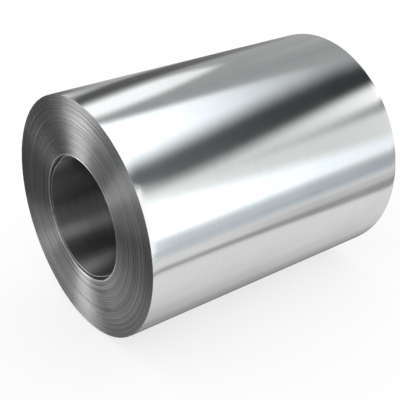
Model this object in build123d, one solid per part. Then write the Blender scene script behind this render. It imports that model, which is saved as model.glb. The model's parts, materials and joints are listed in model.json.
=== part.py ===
from build123d import *
import math
import os

# Steel coil: one long strip of sheet steel wound on itself, lying on its side with its eye level.
# Millimetres. The origin is on the floor under the middle of the coil, +Y runs along the eye, +Z is up.

# Driving sizes
bore_diameter = 508.0      # the eye, as wound on a standard mandrel
outer_diameter = 988.0
strip_width = 1250.0
strip_thickness = 2.0

# How the turns show on the ends: bands of turns that were wound a little to one side
turns_in_band = 5
side_step = 0.5            # one step of side drift
most_side_steps = 2        # the furthest that a band drifts, in steps
drift_turn = 0.382         # how far the drift pattern goes on from one band to the next, in full cycles


def band_radii():
    """The radii between which each band of turns lies, from the eye outwards."""
    inner = bore_diameter / 2
    outer = outer_diameter / 2
    count = max(1, round((outer - inner) / (strip_thickness * turns_in_band)))
    thickness = (outer - inner) / count
    return [inner + thickness * number for number in range(count)] + [outer]


def band_drift(number):
    """How far along the eye a band sits from the middle. The whole strip is equally wide."""
    wave = math.sin(2 * math.pi * drift_turn * number)
    return side_step * round(most_side_steps * wave)


def end_line(radii, middle):
    """Corner points of one end of the half section, from the eye to the outside."""
    points = []
    for number in range(len(radii) - 1):
        height = middle + band_drift(number)
        if points and points[-1][1] == height:
            points[-1] = (radii[number + 1], height)
        else:
            points.append((radii[number], height))
            points.append((radii[number + 1], height))
    return points


def steel_coil():
    """The wound strip as one turned solid: the half section goes once round the eye's axis."""
    radii = band_radii()
    near_end = end_line(radii, -strip_width / 2)
    far_end = end_line(radii, strip_width / 2)
    outline = Polyline(*near_end, *reversed(far_end), close=True)
    turned = revolve(make_face(outline), Axis.Y, 360)
    return Pos(0, 0, outer_diameter / 2) * turned


os.makedirs("parts", exist_ok=True)
coil = steel_coil()
coil.label = "steel_coil"
export_step(coil, "parts/steel_coil.step")
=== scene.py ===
import json
import math
import random

import bpy
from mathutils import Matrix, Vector


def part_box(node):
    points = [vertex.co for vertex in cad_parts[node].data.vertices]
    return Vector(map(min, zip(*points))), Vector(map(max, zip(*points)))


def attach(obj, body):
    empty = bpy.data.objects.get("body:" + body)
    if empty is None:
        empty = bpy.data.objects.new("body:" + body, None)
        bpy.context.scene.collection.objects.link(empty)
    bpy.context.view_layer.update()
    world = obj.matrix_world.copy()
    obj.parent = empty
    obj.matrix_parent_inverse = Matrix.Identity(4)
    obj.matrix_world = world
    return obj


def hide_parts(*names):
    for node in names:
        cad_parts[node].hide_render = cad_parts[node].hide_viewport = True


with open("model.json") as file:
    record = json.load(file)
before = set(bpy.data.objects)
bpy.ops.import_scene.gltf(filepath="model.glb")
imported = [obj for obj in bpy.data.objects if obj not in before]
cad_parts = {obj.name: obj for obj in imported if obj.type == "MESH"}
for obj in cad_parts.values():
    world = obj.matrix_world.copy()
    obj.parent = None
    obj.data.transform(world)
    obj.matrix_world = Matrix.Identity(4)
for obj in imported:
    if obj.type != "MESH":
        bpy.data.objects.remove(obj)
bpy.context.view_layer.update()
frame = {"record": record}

coilLow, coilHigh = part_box("steel_coil")
eyeMount = next(mount for mount in frame["record"]["mounts"] if mount["name"] == "eye")
axisHeight = eyeMount["pos_m"][2]
eyeRadius = eyeMount["dims"]["r_mm"] / 1000
facetDepth = 0.00005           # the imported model's round faces are flat facets; the winding keeps inside
coilRadius = (coilHigh[0] - coilLow[0]) / 2 - facetDepth
coilHalfWidth = (coilHigh[1] - coilLow[1]) / 2
print("coil", round(coilRadius * 2, 3), "m across and", round(coilHalfWidth * 2, 3), "m wide")


# The winding: a strip that starts at the top of the eye and goes round clockwise, seen from the near end

winding = {
    "thickness": 0.002,        # of the strip
    "stepsPerTurn": 120,
    "startAngle": 96,          # where the tight turns start, degrees from +X towards +Z
    "tailAngle": 240,          # where the strip ends on the outside
    "turnsInBand": 5,          # turns that drifted sideways together
    "bandDrift": 0.0008,       # the furthest that a band drifted
    "driftTurn": 0.382,        # how far the drift goes on from band to band, in full cycles
    "turnStray": 0.0002,       # the furthest that one turn strays from its band
    "moveOverFrom": 0.7,       # the part of its way round at which a turn starts to move over
    "grooveDepth": 0.0006,     # between one turn's edge and the next
    "innerRounding": 0.22,     # how far the knife rounded the edge, as a part of the thickness
    "outerRounding": 0.10,
    "cornerSteps": 4,          # of the rounding where an end meets the outside or the wall of the eye
    "eyeShoulder": (1.5, 3),   # rows of the eye's wall next to that rounding, in its sizes
    "edgeDrop": 0.0007,        # how far the outer turn falls away at its edges, as rolled strip does
    "edgeDropWidth": 0.030,
    "edgeDropSteps": 6,
    "skinFrom": 1.2,           # where the skin's long faces start, in widths of the drop
    "knocks": {36: 0.0014, 6: 0.0009},     # how deep the near rim is dented, at these angles
    "knockReach": 0.014,       # how far in from the rim a dent goes
    "seed": 7,
}

tailTurns = ((winding["startAngle"] - winding["tailAngle"]) % 360) / 360
wholeTurns = round((coilRadius - eyeRadius) / winding["thickness"] - 1 - tailTurns)
turnCount = wholeTurns + tailTurns
turnPitch = (coilRadius - eyeRadius) / (turnCount + 1)
perTurn = winding["stepsPerTurn"]
lastStep = round(turnCount * perTurn)
stripHalfWidth = coilHalfWidth - winding["bandDrift"] - winding["turnStray"]


def strayOfTurns():
    # one for each turn, with a few to spare past the last
    dice = random.Random(winding["seed"])
    return [dice.uniform(-1, 1) * winding["turnStray"] for _ in range(wholeTurns + 3)]


turnStrays = strayOfTurns()


def between(first, second, part):
    return first + (second - first) * part


def easeBetween(low, high, value):
    part = max(0.0, min(1.0, (value - low) / (high - low)))
    return part * part * (3 - 2 * part)


def driftOfTurn(turn):
    band = turn // winding["turnsInBand"]
    return winding["bandDrift"] * math.sin(2 * math.pi * winding["driftTurn"] * band) + turnStrays[turn]


def driftAt(step):
    # a turn keeps its place for most of the way round and moves over to the next one's at the end
    turn, part = divmod(max(step, 0) / perTurn, 1)
    moved = easeBetween(winding["moveOverFrom"], 1.0, part)
    return between(driftOfTurn(int(turn)), driftOfTurn(int(turn) + 1), moved)


def radiusAt(step):
    return eyeRadius + turnPitch * step / perTurn      # the strip's inner face


def angleAt(step):
    return math.radians(winding["startAngle"] - 360 * step / perTurn)


def onCoil(radius, angle, y):
    return (radius * math.cos(angle), y, axisHeight + radius * math.sin(angle))


class MeshLists:
    def __init__(self):
        self.points = []
        self.faces = []
        self.finishes = []

    def point(self, place):
        self.points.append(place)
        return len(self.points) - 1

    def face(self, corners, finish, flipped=False):
        self.faces.append(tuple(reversed(corners)) if flipped else tuple(corners))
        self.finishes.append(finish)


rolledFinish, edgeFinish, eyeFinish, rimFinish = 0, 1, 2, 3


def cornerArc(finish, size, top):
    # a quarter circle from the plane of the end down to the strip's face, as (out, deep, finish)
    count = winding["cornerSteps"]
    turns = [math.pi / 2 * number / count for number in range(count + 1)]
    return [(top - size + size * math.sin(turn), size - size * math.cos(turn), finish) for turn in turns]


def eyeCorner():
    # a little more of the strip's face follows the arc, so that the rounding's shading stops there
    size = turnPitch * (1 - winding["outerRounding"])
    arc = cornerArc(rimFinish, size, turnPitch)
    arc += [(turnPitch, size * far, rimFinish) for far in winding["eyeShoulder"]]
    return [(turnPitch - out, deep, finish) for out, deep, finish in reversed(arc)]


def skinCorner():
    drop, width, count = winding["edgeDrop"], winding["edgeDropWidth"], winding["edgeDropSteps"]
    size = turnPitch * (1 - winding["innerRounding"]) - drop
    profile = cornerArc(edgeFinish, size, turnPitch - drop)
    profile[-1] = (*profile[-1][:2], rolledFinish)
    for number in range(1, count + 1):
        part = number / count
        profile.append((turnPitch - drop * (1 - part) ** 2, between(size, width, part), rolledFinish))
    return profile + [(turnPitch, width * winding["skinFrom"], rolledFinish)]


def edgeProfiles():
    # the cut edge of the first turn, of those between and of the last one, from the strip's inner face to its
    # outer one; each point has the finish of what follows it
    inner = [(0, winding["grooveDepth"], edgeFinish), (winding["innerRounding"] * turnPitch, 0, edgeFinish)]
    outer = [((1 - winding["outerRounding"]) * turnPitch, 0, edgeFinish)]
    return eyeCorner(), inner + outer, inner[:1] + skinCorner()


def knockAt(step, side):
    # how deep the outer turn is dented at the rim of an end
    if side > 0 or step <= lastStep - perTurn:
        return 0.0
    angle = round(math.degrees(angleAt(step))) % 360
    return winding["knocks"].get(angle, 0.0)


def addEnd(mesh, side):
    # side is -1 for the near end and 1 for the far one; returns the rows of points by their steps, for the
    # first turn, those between and the last one
    stops = (0, perTurn, lastStep - perTurn, lastStep)
    stretches = []
    for low, high, profile in zip(stops, stops[1:], edgeProfiles()):
        rows = {}
        for step in range(low, high + 1):
            y, knock = side * stripHalfWidth + driftAt(step), knockAt(step, side)
            rows[step] = []
            for out, deep, _ in profile:
                dent = knock * out / turnPitch * max(0.0, 1 - deep / winding["knockReach"])
                place = onCoil(radiusAt(step) + out - dent, angleAt(step), y - side * deep)
                rows[step].append(mesh.point(place))
        stretches.append((rows, profile))
    startOfRow = {step: row[0] for rows, _ in stretches for step, row in rows.items()}
    flipped = side > 0
    for rows, profile in stretches:
        for step in list(rows)[:-1]:
            here, there = rows[step], rows[step + 1]
            for low in range(len(here) - 1):
                corners = (here[low], there[low], there[low + 1], here[low + 1])
                mesh.face(corners, profile[low][2], flipped)
            if step + perTurn < lastStep:
                above, nextAbove = startOfRow[step + perTurn], startOfRow[step + perTurn + 1]
                mesh.face((here[-1], there[-1], nextAbove, above), edgeFinish, flipped)
    return [rows for rows, _ in stretches]


def closeStart(mesh, near, far):
    # the step in the wall of the eye where the winding starts
    around = [eye[0] + middle[perTurn] + eye[perTurn][-2::-1] for eye, middle, _ in (near, far)]
    mesh.face(around[0] + around[1][::-1], edgeFinish, flipped=True)


def closeTail(mesh, near, far):
    # the strip's cut end, and under it a sliver at either end where the turn below comes out from under it
    start = lastStep - perTurn
    nearSkin, farSkin = near[2], far[2]
    foot = [farSkin[start][-1], nearSkin[start][-1]]
    mesh.face(nearSkin[lastStep] + farSkin[lastStep][::-1] + foot, edgeFinish)
    for (_, middle, skin), flipped in ((near, False), (far, True)):
        mesh.face(middle[start][1:] + [skin[lastStep][0]] + skin[start][:1:-1], edgeFinish, flipped)


def buildWinding(mesh):
    near, far = addEnd(mesh, -1), addEnd(mesh, 1)
    (nearEye, _, nearSkin), (farEye, _, farSkin) = near, far
    for step in range(lastStep - perTurn, lastStep):
        mesh.face((nearSkin[step][-1], nearSkin[step + 1][-1], farSkin[step + 1][-1], farSkin[step][-1]),
                  rolledFinish)
    for step in range(perTurn):
        mesh.face((nearEye[step][0], farEye[step][0], farEye[step + 1][0], nearEye[step + 1][0]), eyeFinish)
    closeStart(mesh, near, far)
    closeTail(mesh, near, far)


# The strip's first stretch, which has come loose from the wall of the eye

looseTurn = {
    "stepAngle": 1.5,
    "freeEndGone": 222,        # degrees back from the start of the tight turns to the strip's first edge
    # how far it stands off the wall, by the degrees back from there
    "standOff": {0: 0.0, 10: 0.0005, 16: 0.003, 21: 0.007, 25: 0.013, 29: 0.0190, 34: 0.0195, 50: 0.0185,
                 80: 0.020, 110: 0.018, 140: 0.015, 175: 0.0165, 200: 0.0165, 213: 0.011, 222: 0.003},
    "rounding": 0.0003,
    "stripFaces": (3, 7),      # of the eight sides of its section, the two that aren't its edges
}


def standOffAt(gone):
    stops = list(looseTurn["standOff"].items())
    for (low, lowOff), (high, highOff) in zip(stops, stops[1:]):
        if gone <= high:
            return lowOff + (highOff - lowOff) * (gone - low) / (high - low)
    return stops[-1][1]


def buildLooseTurn(mesh):
    rounding = looseTurn["rounding"]
    stepCount = round(looseTurn["freeEndGone"] / looseTurn["stepAngle"])
    y = driftAt(0)
    rings = []
    for step in range(stepCount + 1):
        gone = step * looseTurn["stepAngle"]
        inner = radiusAt(-gone / 360 * perTurn) - standOffAt(gone)
        outer = inner + turnPitch
        angle = math.radians(winding["startAngle"] + gone)
        section = []
        for side in (-1, 1):
            corners = [(inner, rounding), (inner + rounding, 0), (outer - rounding, 0), (outer, rounding)]
            for radius, deep in corners[::-side]:
                section.append(mesh.point(onCoil(radius, angle, y + side * (stripHalfWidth - deep))))
        rings.append(section)
    corners = len(rings[0])
    for here, there in zip(rings, rings[1:]):
        for number in range(corners):
            after = (number + 1) % corners
            finish = eyeFinish if number in looseTurn["stripFaces"] else rimFinish
            mesh.face((here[number], here[after], there[after], there[number]), finish)
    mesh.face(rings[-1], edgeFinish)
    mesh.face(rings[0], edgeFinish, flipped=True)


mesh = MeshLists()
buildWinding(mesh)
buildLooseTurn(mesh)
print("winding:", wholeTurns, "whole turns,", len(mesh.faces), "faces")


# Finishes

# Noise seldom leaves these stretches, so they are spread over the whole range of a colour or a roughness
noiseMiddle = {"colour": (0.35, 0.65), "roughness": (0.3, 0.7)}


def newMaterial(name):
    material = bpy.data.materials.new(name)
    material.use_nodes = True
    tree = material.node_tree
    return material, tree, tree.nodes["Principled BSDF"]


def emptyMaterial(name):
    material = bpy.data.materials.new(name)
    material.use_nodes = True
    material.node_tree.nodes.clear()
    return material, material.node_tree


def addNode(tree, kind, inputs=None, **settings):
    node = tree.nodes.new(kind)
    for key, value in settings.items():
        setattr(node, key, value)
    for key, value in (inputs or {}).items():
        if isinstance(value, bpy.types.NodeSocket):
            tree.links.new(value, node.inputs[key])
        else:
            node.inputs[key].default_value = value
    return node


def mathNode(tree, operation, first, second=0.0):
    return addNode(tree, "ShaderNodeMath", {0: first, 1: second}, operation=operation).outputs[0]


def vectorNode(tree, operation, first, second):
    return addNode(tree, "ShaderNodeVectorMath", {0: first, 1: second}, operation=operation).outputs[0]


def noiseNode(tree, place, scale, detail):
    inputs = {"Vector": place, "Scale": scale, "Detail": detail}
    return addNode(tree, "ShaderNodeTexNoise", inputs).outputs["Fac"]


def mixNode(tree, factor, first, second, blend="MIX"):
    inputs = {"Factor": factor, 6: first, 7: second}
    return addNode(tree, "ShaderNodeMix", inputs, data_type="RGBA", blend_type=blend).outputs[2]


def bumpNode(tree, height, strength, depth, over=None):
    inputs = {"Height": height, "Strength": strength, "Distance": depth}
    if over is not None:
        inputs["Normal"] = over
    return addNode(tree, "ShaderNodeBump", inputs).outputs[0]


def rampNode(tree, factor, stops):
    # stops is a list of (place, colour)
    node = addNode(tree, "ShaderNodeValToRGB", {"Fac": factor})
    ramp = node.color_ramp
    while len(ramp.elements) < len(stops):
        ramp.elements.new(1.0)
    for element, (place, colour) in zip(ramp.elements, stops):
        element.position = place
        element.color = (*colour, 1)
    return node.outputs["Color"]


def rangeNode(tree, value, fromLow, fromHigh, toLow, toHigh):
    inputs = {"Value": value, "From Min": fromLow, "From Max": fromHigh, "To Min": toLow, "To Max": toHigh}
    return addNode(tree, "ShaderNodeMapRange", inputs).outputs["Result"]


def fromEyeCentre(tree):
    # the place measured from the middle of the eye
    place = addNode(tree, "ShaderNodeTexCoord").outputs["Object"]
    return vectorNode(tree, "SUBTRACT", place, (0, 0, axisHeight))


def fromAxis(tree, centred):
    # the distance from the eye's axis
    flat = vectorNode(tree, "MULTIPLY", centred, (1, 0, 1))
    return addNode(tree, "ShaderNodeVectorMath", {0: flat}, operation="LENGTH").outputs["Value"]


def ringNoise(tree, centred, distance, perMetre, detail, wander):
    # noise that is the same all the way round, apart from a slow wander
    along = vectorNode(tree, "MULTIPLY", centred, (wander, 0, wander))
    outwards = mathNode(tree, "MULTIPLY", distance, perMetre)
    ring = addNode(tree, "ShaderNodeCombineXYZ", {"Y": outwards}).outputs[0]
    return noiseNode(tree, vectorNode(tree, "ADD", along, ring), 1.0, detail)


def countTurns(tree, centred, distance):
    # how many turns lie below each point of an end, with the place within its own turn as the fraction, and
    # the part of the way round that this turn has come from the start of the winding
    part = addNode(tree, "ShaderNodeSeparateXYZ", {0: centred}).outputs
    angle = mathNode(tree, "ARCTAN2", part["Z"], part["X"])
    back = mathNode(tree, "SUBTRACT", math.radians(winding["startAngle"]), angle)
    way = mathNode(tree, "FRACT", mathNode(tree, "DIVIDE", back, 2 * math.pi))
    out = mathNode(tree, "DIVIDE", mathNode(tree, "SUBTRACT", distance, eyeRadius), turnPitch)
    return mathNode(tree, "SUBTRACT", out, way), way


def shadeOfTurns(tree, turns, way, perGroup):
    # one random shade for each group of turns, passing over to the next one's at the end of the way round,
    # and the place within the group
    group = mathNode(tree, "DIVIDE", turns, perGroup)
    here = mathNode(tree, "FLOOR", group)
    after = mathNode(tree, "FLOOR", mathNode(tree, "ADD", group, 1 / perGroup))
    shades = [addNode(tree, "ShaderNodeTexWhiteNoise", {"W": number}, noise_dimensions="1D").outputs["Value"]
              for number in (here, after)]
    stretch = {"Value": way, "From Min": winding["moveOverFrom"], "From Max": 1.0}
    passed = addNode(tree, "ShaderNodeMapRange", stretch, interpolation_type="SMOOTHSTEP").outputs["Result"]
    mixed = addNode(tree, "ShaderNodeMix", {"Factor": passed, 2: shades[0], 3: shades[1]}, data_type="FLOAT")
    return mixed.outputs[0], mathNode(tree, "FRACT", group)


def shadeOfMarks(tree, marks, cloud, marksShare):
    fromMarks = mathNode(tree, "MULTIPLY", marks, marksShare)
    return mathNode(tree, "ADD", fromMarks, mathNode(tree, "MULTIPLY", cloud, 1 - marksShare))


def colourByShade(tree, shader, shade, steel):
    low, high = noiseMiddle["colour"]
    colour = rampNode(tree, shade, [(low, steel["darker"]), (high, steel["lighter"])])
    tree.links.new(colour, shader.inputs["Base Color"])


def roughnessByShade(tree, shade, steel):
    return rangeNode(tree, shade, *noiseMiddle["roughness"], *steel["roughness"])


def brushRoundEye(tree, shader, amount):
    shader.inputs["Anisotropic"].default_value = amount
    shader.inputs["Anisotropic Rotation"].default_value = 0.25     # a quarter turn
    tangent = addNode(tree, "ShaderNodeTangent", direction_type="RADIAL", axis="Y")
    tree.links.new(tangent.outputs[0], shader.inputs["Tangent"])


rolledSteel = {
    "darker": (0.600, 0.610, 0.620),
    "lighter": (0.660, 0.668, 0.675),
    "roughness": (0.10, 0.16),
    "brushed": 0.45,
    "marksPerMetre": (6, 900, 6),  # rolling marks are long round the coil and fine across the strip's width
    "marksShare": 0.4,         # of the shade; the rest is clouds
    "markStrength": 0.03,
    "markDepth": 0.0005,
    "cloudsPerMetre": 4.0,
    "wavesPerMetre": 3.0,      # the sheet isn't quite flat
    "waveStrength": 0.12,
    "waveDepth": 0.004,
}

nicks = {
    "size": 0.014,             # of the torn spot at each knock in the near rim
    "core": 0.3,               # the part of the spot that is torn in full
    "inset": 0.002,            # of the spot's middle from the end
    "tearsPerMetre": 260.0,
    "tears": (0.42, 0.58),     # the noise below the first is whole and above the second torn
    "roughness": 0.5,
    "strength": 0.35,
    "depth": 0.001,
}


def nickMask(tree, centred):
    # 1 in the torn spots at each knock in the near rim, 0 outside them
    mask = None
    for turn in winding["knocks"]:
        angle = math.radians(turn)
        spot = (coilRadius * math.cos(angle), -coilHalfWidth + nicks["inset"], coilRadius * math.sin(angle))
        inputs = {0: centred, 1: spot}
        away = addNode(tree, "ShaderNodeVectorMath", inputs, operation="DISTANCE").outputs["Value"]
        near = rangeNode(tree, away, nicks["size"], nicks["size"] * nicks["core"], 0, 1)
        mask = near if mask is None else mathNode(tree, "MAXIMUM", mask, near)
    tears = noiseNode(tree, centred, nicks["tearsPerMetre"], 1)
    return mathNode(tree, "MULTIPLY", mask, rangeNode(tree, tears, *nicks["tears"], 0, 1))


def makeRolledSteel():
    material, tree, shader = newMaterial("rolled_steel")
    centred = fromEyeCentre(tree)
    marks = noiseNode(tree, vectorNode(tree, "MULTIPLY", centred, rolledSteel["marksPerMetre"]), 1.0, 3)
    cloud = noiseNode(tree, centred, rolledSteel["cloudsPerMetre"], 4)
    shade = shadeOfMarks(tree, marks, cloud, rolledSteel["marksShare"])
    colourByShade(tree, shader, shade, rolledSteel)
    shader.inputs["Metallic"].default_value = 1.0
    torn = nickMask(tree, centred)
    scuffed = mathNode(tree, "MULTIPLY", torn, nicks["roughness"])
    rough = mathNode(tree, "MAXIMUM", roughnessByShade(tree, shade, rolledSteel), scuffed)
    tree.links.new(rough, shader.inputs["Roughness"])
    brushRoundEye(tree, shader, rolledSteel["brushed"])
    swell = noiseNode(tree, centred, rolledSteel["wavesPerMetre"], 1)
    waves = bumpNode(tree, swell, rolledSteel["waveStrength"], rolledSteel["waveDepth"])
    tears = bumpNode(tree, torn, nicks["strength"], nicks["depth"], over=waves)
    bump = bumpNode(tree, marks, rolledSteel["markStrength"], rolledSteel["markDepth"], over=tears)
    tree.links.new(bump, shader.inputs["Normal"])
    return material


cutEdges = {
    # these tones sit below the rolled faces', partly for the rough cut and partly as painted shade of the
    # gaps between the turns
    "dark": (0.40, 0.40, 0.405),
    "middle": (0.51, 0.51, 0.515),
    "bright": (0.62, 0.622, 0.625),
    "shades": (0.15, 0.5, 0.9),    # where these three lie on the way from the darkest shade to the brightest
    "roughness": (0.52, 0.35),
    "roughnessShades": (0.2, 0.8),
    "brushed": 1.0,
    "cloudsPerMetre": 26,      # slow change of shade outwards
    "cloudWander": 1.5,        # and on the way round
    "cloudStrength": 0.12,
    "cloudDepth": 0.004,
    "bandShare": 0.40,         # how much of the shade is one for each band of turns
    "turnShare": 0.35,
    "lineWidth": 0.30,         # of the dark line between bands, painted shade of the step between them, as a part of the band
    "lineShade": 0.25,
    "lineStrength": (0.35, 1.0),   # in the darkest bands and in the brightest
    "paleWidth": 0.005,        # of the turns next to the eye that are painted bright, a painted highlight along the eye's rim
    "paleFade": 1.3,           # where they have faded out, in these widths
    "paintedHighlightColour": (0.92, 0.92, 0.92),
}


def makeCutEdges():
    material, tree, shader = newMaterial("cut_edges")
    centred = fromEyeCentre(tree)
    distance = fromAxis(tree, centred)
    turns, way = countTurns(tree, centred, distance)
    bandShade, placeInBand = shadeOfTurns(tree, turns, way, winding["turnsInBand"])
    turnShade = shadeOfTurns(tree, turns, way, 1)[0]
    cloud = ringNoise(tree, centred, distance, cutEdges["cloudsPerMetre"], 3, cutEdges["cloudWander"])
    bandShare, turnShare = cutEdges["bandShare"], cutEdges["turnShare"]
    shade = mathNode(tree, "MULTIPLY", cloud, 1 - bandShare - turnShare)
    shade = mathNode(tree, "ADD", shade, mathNode(tree, "MULTIPLY", bandShade, bandShare))
    shade = mathNode(tree, "ADD", shade, mathNode(tree, "MULTIPLY", turnShade, turnShare))
    tones = [cutEdges[name] for name in ("dark", "middle", "bright")]
    colour = rampNode(tree, shade, list(zip(cutEdges["shades"], tones)))
    # painted shade: a dark line at the start of each band stands for the shade of the step between bands,
    # stronger in the brighter bands
    line = rangeNode(tree, placeInBand, 0.0, cutEdges["lineWidth"], 1, 0)
    line = mathNode(tree, "MULTIPLY", line, rangeNode(tree, bandShade, 0, 1, *cutEdges["lineStrength"]))
    paintedStepShade = mixNode(tree, line, (1, 1, 1, 1), (*[cutEdges["lineShade"]] * 3, 1))
    painted = mixNode(tree, 1.0, colour, paintedStepShade, blend="MULTIPLY")
    # painted highlight: the turns next to the eye are painted pale, fading out further from the eye
    pale = eyeRadius + cutEdges["paleWidth"]
    faded = eyeRadius + cutEdges["paleWidth"] * cutEdges["paleFade"]
    paintedRimHighlight = rangeNode(tree, distance, faded, pale, 0, 1)
    finished = mixNode(tree, paintedRimHighlight, painted, (*cutEdges["paintedHighlightColour"], 1))
    tree.links.new(finished, shader.inputs["Base Color"])
    shader.inputs["Metallic"].default_value = 1.0
    rough = rangeNode(tree, shade, *cutEdges["roughnessShades"], *cutEdges["roughness"])
    tree.links.new(rough, shader.inputs["Roughness"])
    brushRoundEye(tree, shader, cutEdges["brushed"])
    bump = bumpNode(tree, cloud, cutEdges["cloudStrength"], cutEdges["cloudDepth"])
    tree.links.new(bump, shader.inputs["Normal"])
    return material


rimSteel = {
    "darker": (0.66, 0.66, 0.655),
    "lighter": (0.92, 0.92, 0.915),
    "roughness": (0.25, 0.45),
    "metal": 0.9,              # a knife leaves part of the edge torn and matt
    "marksPerMetre": 40.0,
    "markStrength": 0.1,
    "markDepth": 0.001,
}


def makeRimSteel():
    material, tree, shader = newMaterial("rim_steel")
    marks = noiseNode(tree, fromEyeCentre(tree), rimSteel["marksPerMetre"], 4)
    colourByShade(tree, shader, marks, rimSteel)
    shader.inputs["Metallic"].default_value = rimSteel["metal"]
    tree.links.new(roughnessByShade(tree, marks, rimSteel), shader.inputs["Roughness"])
    bump = bumpNode(tree, marks, rimSteel["markStrength"], rimSteel["markDepth"])
    tree.links.new(bump, shader.inputs["Normal"])
    return material


eyeSteel = {
    "darker": (0.30, 0.30, 0.30),
    "lighter": (0.41, 0.41, 0.405),
    "roughness": (0.40, 0.46),
    "brushed": 1.0,
    "marksPerMetre": (4, 160, 4),
    "marksShare": 0.6,
    "markStrength": 0.05,
    "markDepth": 0.001,
    "cloudsPerMetre": 6.0,
}


def makeEyeSteel():
    material, tree, shader = newMaterial("eye_steel")
    centred = fromEyeCentre(tree)
    marks = noiseNode(tree, vectorNode(tree, "MULTIPLY", centred, eyeSteel["marksPerMetre"]), 1.0, 4)
    cloud = noiseNode(tree, centred, eyeSteel["cloudsPerMetre"], 4)
    shade = shadeOfMarks(tree, marks, cloud, eyeSteel["marksShare"])
    colourByShade(tree, shader, shade, eyeSteel)
    shader.inputs["Metallic"].default_value = 1.0
    tree.links.new(roughnessByShade(tree, shade, eyeSteel), shader.inputs["Roughness"])
    brushRoundEye(tree, shader, eyeSteel["brushed"])
    bump = bumpNode(tree, marks, eyeSteel["markStrength"], eyeSteel["markDepth"])
    tree.links.new(bump, shader.inputs["Normal"])
    return material


sharpAngle = 25                # degrees; the mesh shades smoothly over edges that turn less than this


def addObject(name, data):
    piece = bpy.data.objects.new(name, data)
    bpy.context.scene.collection.objects.link(piece)
    return piece


def makeCoil():
    data = bpy.data.meshes.new("coil")
    data.from_pydata(mesh.points, [], mesh.faces)
    data.polygons.foreach_set("material_index", mesh.finishes)
    data.polygons.foreach_set("use_smooth", [True] * len(mesh.faces))
    data.update()
    data.set_sharp_from_angle(angle=math.radians(sharpAngle))
    coil = addObject("coil", data)
    for material in (makeRolledSteel(), makeCutEdges(), makeEyeSteel(), makeRimSteel()):
        data.materials.append(material)
    return coil


coil = makeCoil()
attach(coil, "root")
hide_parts("steel_coil")
print("coil mesh and finishes are in place")


# The studio: a pale floor, a white surround, and a light tent that only shows in the metal

studio = {
    "floorRadius": 40.0,
    "floorCorners": 64,
    "floorColour": (0.96, 0.96, 0.96),
    "floorOwnLight": 0.7,      # how much of its white the floor has without the surround
    "floorGlow": 1.04,         # the strength of that white
    "surround": (1.0, 1.0, 1.0),
}


def makeFloor():
    size, count = studio["floorRadius"], studio["floorCorners"]
    turns = [2 * math.pi * number / count for number in range(count)]
    corners = [(size * math.cos(turn), size * math.sin(turn), 0) for turn in turns]
    data = bpy.data.meshes.new("floor")
    data.from_pydata(corners, [], [tuple(range(count))])
    floor = addObject("floor", data)
    material, tree = emptyMaterial("floor_white")
    path = addNode(tree, "ShaderNodeLightPath")
    seen = mathNode(tree, "MAXIMUM", path.outputs["Is Camera Ray"], path.outputs["Is Glossy Ray"])
    seen = mathNode(tree, "MAXIMUM", seen, path.outputs["Is Transmission Ray"])
    matt = addNode(tree, "ShaderNodeBsdfDiffuse", {"Color": (*studio["floorColour"], 1)})
    glow = addNode(tree, "ShaderNodeEmission", {"Color": (1, 1, 1, 1), "Strength": studio["floorGlow"]})
    part = mathNode(tree, "MULTIPLY", seen, studio["floorOwnLight"])
    both = addNode(tree, "ShaderNodeMixShader", {0: part, 1: matt.outputs[0], 2: glow.outputs[0]})
    addNode(tree, "ShaderNodeOutputMaterial", {"Surface": both.outputs[0]})
    data.materials.append(material)


def makeWorld():
    world = bpy.data.worlds.new("white_surround")
    world.use_nodes = True
    background = world.node_tree.nodes["Background"]
    background.inputs["Color"].default_value = (*studio["surround"], 1)
    background.inputs["Strength"].default_value = 1.0
    world.cycles.sampling_method = "NONE"
    bpy.context.scene.world = world


lightTent = {
    "radius": 2.2,
    "fromY": -3.2,
    "toY": 4.2,
    "stepAlong": 0.04,
    "stepRound": 1.0,          # degrees
    "floorStep": 0.03,
    "wallStep": 0.1,
    "aboveFloor": 0.0005,      # how far the glowing floor lies over the pale one
    "bandsFromY": 0.31,        # the coil shows this stretch of the tent at its near end
    "bandsToY": 2.38,          # and this one at its far end
    "pastBands": 0.12,         # the bands go on this far past both, as a part of the stretch between them
    "pastSoft": 0.1,
    "untilSoft": 0.12,
    "leastGlow": 0.03,
    "base": (0.468, 0.480, 0.471),
}

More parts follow.
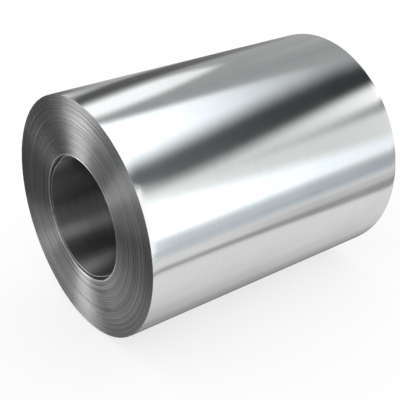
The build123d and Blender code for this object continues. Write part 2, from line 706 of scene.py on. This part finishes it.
# Soft boxes and dark flags along the tent, each laid over the ones before. Angles are degrees from +X
# towards +Z about the coil's axis. Each has its lower edge, its upper edge and its glow at four places,
# evenly spaced from the near end of the bands' stretch to its far end, and how soft its lower and upper edges
# are. "until" is where a band ends, as a part of that stretch.
tentBands = [
    {"name": "upper streak", "low": (118, 122, 126, 136), "high": (120, 126, 132, 143),
     "glow": (0.45, 0.45, 0.50, 0.54), "soft": (4, 5)},
    {"name": "lower streak", "low": (110, 110, 112, 118), "high": (112, 113, 117, 123),
     "glow": (0.47, 0.45, 0.44, 0.41), "soft": (5, 6), "tint": (0.95, 1.0, 1.0)},
    {"name": "top box", "low": (109.5, 123, 150, 196), "high": (127.5, 141, 127, 38),
     "glow": (1.5, 1.35, 1.05, 0.8), "soft": (4.5, 4.5)},
    {"name": "top line", "low": (132, 148, 159, 166), "high": (144, 170, 183, 186),
     "glow": (0.12, 0.14, 0.22, 0.42), "soft": (4, 5)},
    {"name": "top glint", "low": (149, 160, 168, 176), "high": (160, 164, 170, 176),
     "glow": (0.85, 0.7, 0.5, 0.5), "soft": (3, 3), "until": 0.05},
    {"name": "back shade", "low": (163, 172, 180, 190), "high": (185, 190, 195, 200),
     "glow": (0.16, 0.4, 0.5, 0.5), "soft": (3, 3), "until": 0.12},
    {"name": "high box", "low": (52, 58, 66, 75), "high": (100, 101, 100.5, 100),
     "glow": (1.95, 1.5, 0.84, 0.5), "soft": (8, 4), "tint": (0.955, 1.0, 1.02)},
    {"name": "low box", "low": (-20, -20, -20, -20), "high": (39, 48, 57, 66),
     "glow": (1.3, 1.08, 1.0, 1.08), "soft": (1, 6), "tint": (0.99, 1.0, 0.965)},
    {"name": "far stripe", "low": (33, 37.5, 42.5, 46.5), "high": (38, 44, 53, 64),
     "glow": (0.95, 0.95, 1.1, 1.5), "soft": (3, 4), "tint": (0.99, 1.0, 0.97)},
    {"name": "thin flag", "low": (31, 31.5, 33, 36.5), "high": (34, 35, 38.5, 46),
     "glow": (1.2, 0.92, 0.72, 0.52), "soft": (4, 4), "tint": (0.985, 1.0, 0.965)},
    {"name": "side box", "low": (-4, -3.5, -2, 0), "high": (26, 20, 15, 12),
     "glow": (2.0, 1.75, 1.52, 1.4), "soft": (3, 6), "tint": (0.94, 1.0, 1.03)},
    {"name": "blue wall", "low": (-20, -20, -20, -20), "high": (-5.5, -4.5, -3.5, -2.5),
     "glow": (0.86, 0.78, 0.68, 0.58), "soft": (1, 5), "tint": (0.92, 1.0, 1.05)},
    {"name": "dark flag", "low": (35.5, 41.5, 52.8, 63.8), "high": (58.2, 70.5, 82.5, 90),
     "glow": (0.20, 0.115, 0.07, 0.055), "soft": (7, 11), "tint": (0.93, 1.0, 1.03)},
]

# What the metal sees low down at either side of the coil, by the distance from under its axis; the low levels
# close under the coil are painted shade, the coil's shadow on the floor. From here on a pair after "from" or
# "to" is where an edge starts to fade in or out and where it is through.
floorGlow = [(0.0, 0.10), (0.20, 0.17), (0.30, 0.38), (0.42, 0.66), (0.55, 0.86), (0.72, 0.97), (0.90, 1.0),
             (1.40, 1.0), (1.75, 0.78), (2.4, 0.75)]
floorAwayY = (-0.4, 1.6)       # from the near half's floor to the far half's
floorPale = {"fromX": 0.33, "toX": 0.8, "soft": 0.12, "glow": 0.97, "share": 0.6}
floorLine = {"near": 1.13, "far": 1.02, "nearWidth": 0.055, "farWidth": 0.13, "soft": 0.04, "glow": 0.42,
             "waver": 0.012, "waverPerMetre": 5}
floorFlank = {"toX": 1.45, "soft": 0.1, "fromY": (0.1, 0.9), "glow": 0.74}
floorOuter = {"fromX": (1.75, 2.0), "fromY": (0.3, 1.6), "darker": 0.17}
floorTint = {"fromX": (1.5, 1.75), "inside": (1.015, 1.0, 0.985), "outside": (0.92, 1.0, 1.05)}

# Beside the near rim: a white card and a bright floor that only the outer turn's falling edge sees, and a
# dark flag that only the upper left of the near end sees
rimCardSoft = (3, 0.1)         # degrees round the tent, metres along it
rimCards = [
    {"low": -20, "high": 41, "fromY": -0.5, "toY": 0.27, "glow": 1.5},
    {"low": 183, "high": 200, "fromY": -1.1, "toY": 0.1, "glow": 0.06},
]
rimFloor = {"fromX": (1.55, 1.85), "toY": (-0.1, 0.1), "glow": 1.3}

# The part of the studio that only the near end sees
frontGlow = {
    "startsAt": -0.66,
    "tentSoft": 0.5,
    "floorSoft": 0.1,
    "tent": 0.14,
    "wall": 0.42,
    "floor": 0.05,
    "tentCardSoft": (5, 0.15),
    "tentCards": [
        {"low": 132, "high": 193, "fromY": -3.4, "toY": -1.86, "glow": 2.6},
        {"low": 130, "high": 154, "fromY": -1.7, "toY": -0.7, "glow": 1.2},
        {"low": 158, "high": 192, "fromY": -2.8, "toY": -2.4, "glow": 3.4},
        {"low": 34, "high": 60, "fromY": -3.4, "toY": -0.8, "glow": 1.4},
    ],
    "wallFoot": {"fromX": (-1.0, -0.4), "toZ": (0.4, 0.8), "glow": 0.78},
    "wallCorner": {"toX": (-1.6, -1.2), "toZ": (0.5, 0.75), "glow": 1.1},
    "wallCard": {"fromX": 0.2, "toX": 1.5, "fromZ": 0.6, "toZ": 2.0, "glow": 1.2, "soft": 0.3},
    "floorRight": {"fromX": (-0.8, 0.2), "glow": 0.17},
    "floorStrip": {"fromY": (-1.05, -0.89), "glow": 0.42},
    "floorPatch": {"fromX": -0.6, "toX": -0.25, "fromY": -1.0, "toY": -0.72, "glow": 1.15, "soft": 0.12},
}
backWall = {"glow": 0.30, "patch": 1.0, "patchX": (-0.9, 0.2, 0.25), "patchZ": (0.7, 1.3, 0.2)}


def throughFour(values, along):
    # a smooth line through four evenly spaced values, for along from 0 to 1
    places = (0, 1 / 3, 2 / 3, 1)
    total = 0
    for place, value in zip(places, values):
        weight = value
        for other in places:
            if other != place:
                weight *= (along - other) / (place - other)
        total += weight
    return total


def eased(value, low, high, softness):
    # stays between low and high, and comes to each of them without a kink
    if value < low + softness:
        return low + softness * math.exp((value - low - softness) / softness)
    if value > high - softness:
        return high - softness * math.exp((high - softness - value) / softness)
    return value


def patch(low, high, soft, value):
    return easeBetween(low - soft, low + soft, value) * (1 - easeBetween(high - soft, high + soft, value))


def cardCover(card, soft, angle, y):
    return patch(card["low"], card["high"], soft[0], angle) * patch(card["fromY"], card["toY"], soft[1], y)


def fadeIn(edge, value):
    return easeBetween(*edge, value)


def fadeOut(edge, value):
    return 1 - easeBetween(*edge, value)


def frontShare(soft, y):
    # how far a place of the tent or the floor belongs to the part that only the near end sees
    start = frontGlow["startsAt"]
    return fadeOut((start - soft, start + soft), y)


def tentGlow(angle, y):
    along = (y - lightTent["bandsFromY"]) / (lightTent["bandsToY"] - lightTent["bandsFromY"])
    part = eased(along, -lightTent["pastBands"], 1 + lightTent["pastBands"], lightTent["pastSoft"])
    colour = list(lightTent["base"])
    for band in tentBands:
        low, high = throughFour(band["low"], part), throughFour(band["high"], part)
        softLow, softHigh = band["soft"]
        cover = fadeIn((low - softLow, low + softLow), angle)
        cover *= fadeOut((high - softHigh, high + softHigh), angle)
        if "until" in band:
            end, soft = band["until"], lightTent["untilSoft"]
            cover *= fadeOut((end - soft, end + soft), along)
        glow = max(lightTent["leastGlow"], throughFour(band["glow"], part))
        tint = band.get("tint", (1, 1, 1))
        colour = [between(level, glow * share, cover) for level, share in zip(colour, tint)]
    for card in rimCards:
        cover = cardCover(card, rimCardSoft, angle, y)
        colour = [between(level, card["glow"], cover) for level in colour]
    frontLevel = frontGlow["tent"]
    for card in frontGlow["tentCards"]:
        frontLevel = between(frontLevel, card["glow"], cardCover(card, frontGlow["tentCardSoft"], angle, y))
    return [between(level, frontLevel, frontShare(frontGlow["tentSoft"], y)) for level in colour]


def sideFloorGlow(x, y):
    out = abs(x)
    # the levels of floorGlow are low near the coil as painted shade of its shadow on the floor
    level = floorGlow[-1][1]
    for (low, lowLevel), (high, highLevel) in zip(floorGlow, floorGlow[1:]):
        if out <= high:
            level = between(lowLevel, highLevel, easeBetween(low, high, out))
            break
    away = fadeIn(floorAwayY, y)
    pale = patch(floorPale["fromX"], floorPale["toX"], floorPale["soft"], out)
    level = between(level, floorPale["glow"], floorPale["share"] * away * pale)
    line = between(floorLine["near"], floorLine["far"], away)
    line += floorLine["waver"] * math.sin(floorLine["waverPerMetre"] * y)
    width = between(floorLine["nearWidth"], floorLine["farWidth"], away)
    flank = patch(line, floorFlank["toX"], floorFlank["soft"], out) * fadeIn(floorFlank["fromY"], y)
    level = between(level, floorFlank["glow"], flank)
    level -= floorOuter["darker"] * fadeIn(floorOuter["fromX"], out) * fadeIn(floorOuter["fromY"], y)
    level = between(level, floorLine["glow"], patch(line - width, line + width, floorLine["soft"], out))
    return between(level, rimFloor["glow"], fadeIn(rimFloor["fromX"], x) * fadeOut(rimFloor["toY"], y))


def frontFloorGlow(x, y):
    right, strip, spot = frontGlow["floorRight"], frontGlow["floorStrip"], frontGlow["floorPatch"]
    level = between(frontGlow["floor"], right["glow"], fadeIn(right["fromX"], x))
    level = between(level, strip["glow"], fadeIn(strip["fromY"], y))
    cover = patch(spot["fromX"], spot["toX"], spot["soft"], x)
    cover *= patch(spot["fromY"], spot["toY"], spot["soft"], y)
    return between(level, spot["glow"], cover)


def sheetGlow(x, y):
    front = frontShare(frontGlow["floorSoft"], y)
    level = between(sideFloorGlow(x, y), frontFloorGlow(x, y), front)
    outside = fadeIn(floorTint["fromX"], abs(x)) * (1 - front)
    tints = zip(floorTint["inside"], floorTint["outside"])
    return [level * between(here, there, outside) for here, there in tints]


def frontWallGlow(x, z):
    foot, corner, card = frontGlow["wallFoot"], frontGlow["wallCorner"], frontGlow["wallCard"]
    level = between(frontGlow["wall"], foot["glow"], fadeIn(foot["fromX"], x) * fadeOut(foot["toZ"], z))
    level = between(level, corner["glow"], fadeOut(corner["toX"], x) * fadeOut(corner["toZ"], z))
    cover = patch(card["fromX"], card["toX"], card["soft"], x)
    cover *= patch(card["fromZ"], card["toZ"], card["soft"], z)
    return [between(level, card["glow"], cover)] * 3


def backWallGlow(x, z):
    cover = patch(*backWall["patchX"], x) * patch(*backWall["patchZ"], z)
    return [between(backWall["glow"], backWall["patch"], cover)] * 3


def glowMaterial():
    material, tree = emptyMaterial("tent_glow")
    glow = addNode(tree, "ShaderNodeAttribute", attribute_name="glow")
    light = addNode(tree, "ShaderNodeEmission", {"Color": glow.outputs["Color"]})
    addNode(tree, "ShaderNodeOutputMaterial", {"Surface": light.outputs[0]})
    material.cycles.emission_sampling = "NONE"
    return material


def makeGlowSheet(name, rows, columns, placeAt, glowAt, material):
    # a grid whose glow is worked out at each of its points, seen by the metal alone
    points, glows, faces = [], [], []
    for row in rows:
        for column in columns:
            points.append(placeAt(row, column))
            glows.extend((*glowAt(row, column), 1.0))
    width = len(columns)
    for row in range(1, len(rows)):
        for column in range(1, width):
            here = row * width + column
            faces.append((here, here - 1, here - width - 1, here - width))
    data = bpy.data.meshes.new(name)
    data.from_pydata(points, [], faces)
    data.attributes.new("glow", "FLOAT_COLOR", "POINT").data.foreach_set("color", glows)
    data.materials.append(material)
    sheet = addObject(name, data)
    sheet.visible_camera = False
    sheet.visible_diffuse = False
    sheet.visible_shadow = False
    sheet.visible_transmission = False
    sheet.visible_volume_scatter = False


def steps(low, high, step):
    count = round((high - low) / step)
    return [low + (high - low) * number / count for number in range(count + 1)]


def makeTent():
    radius, wallStep = lightTent["radius"], lightTent["wallStep"]
    lowest = -math.degrees(math.asin(axisHeight / radius))
    material = glowMaterial()
    places = steps(lightTent["fromY"], lightTent["toY"], lightTent["stepAlong"])
    makeGlowSheet("light_tent", steps(lowest, 180 - lowest, lightTent["stepRound"]), places,
                  lambda angle, y: onCoil(radius, math.radians(angle), y), tentGlow, material)
    reach = radius * math.cos(math.radians(lowest))
    makeGlowSheet("light_floor", steps(-reach, reach, lightTent["floorStep"]), places,
                  lambda x, y: (x, y, lightTent["aboveFloor"]), sheetGlow, material)
    across, up = steps(-radius, radius, wallStep), steps(0, axisHeight + radius, wallStep)
    for name, y, glowAt in (("front_wall", lightTent["fromY"], frontWallGlow),
                            ("back_wall", lightTent["toY"], backWallGlow)):
        makeGlowSheet(name, across, up, lambda x, z, y=y: (x, y, z), glowAt, material)


makeFloor()
makeWorld()
makeTent()
print("studio is in place")


camera = {
    "place": (2.628, -2.044, 2.138),
    "turn": -52.73,            # degrees from +Y, positive towards +X
    "down": 27.91,             # degrees below the horizon
    "lens": 78.1,
    "sensor": 36,
}


def makeCamera():
    data = bpy.data.cameras.new("camera")
    data.lens = camera["lens"]
    data.sensor_width = camera["sensor"]
    viewer = addObject("camera", data)
    turn, down = math.radians(camera["turn"]), math.radians(camera["down"])
    ahead = Vector((math.sin(turn) * math.cos(down), math.cos(turn) * math.cos(down), -math.sin(down)))
    viewer.location = camera["place"]
    viewer.rotation_euler = ahead.to_track_quat("-Z", "Y").to_euler()
    bpy.context.scene.camera = viewer


makeCamera()
bpy.context.scene.view_settings.view_transform = "Standard"
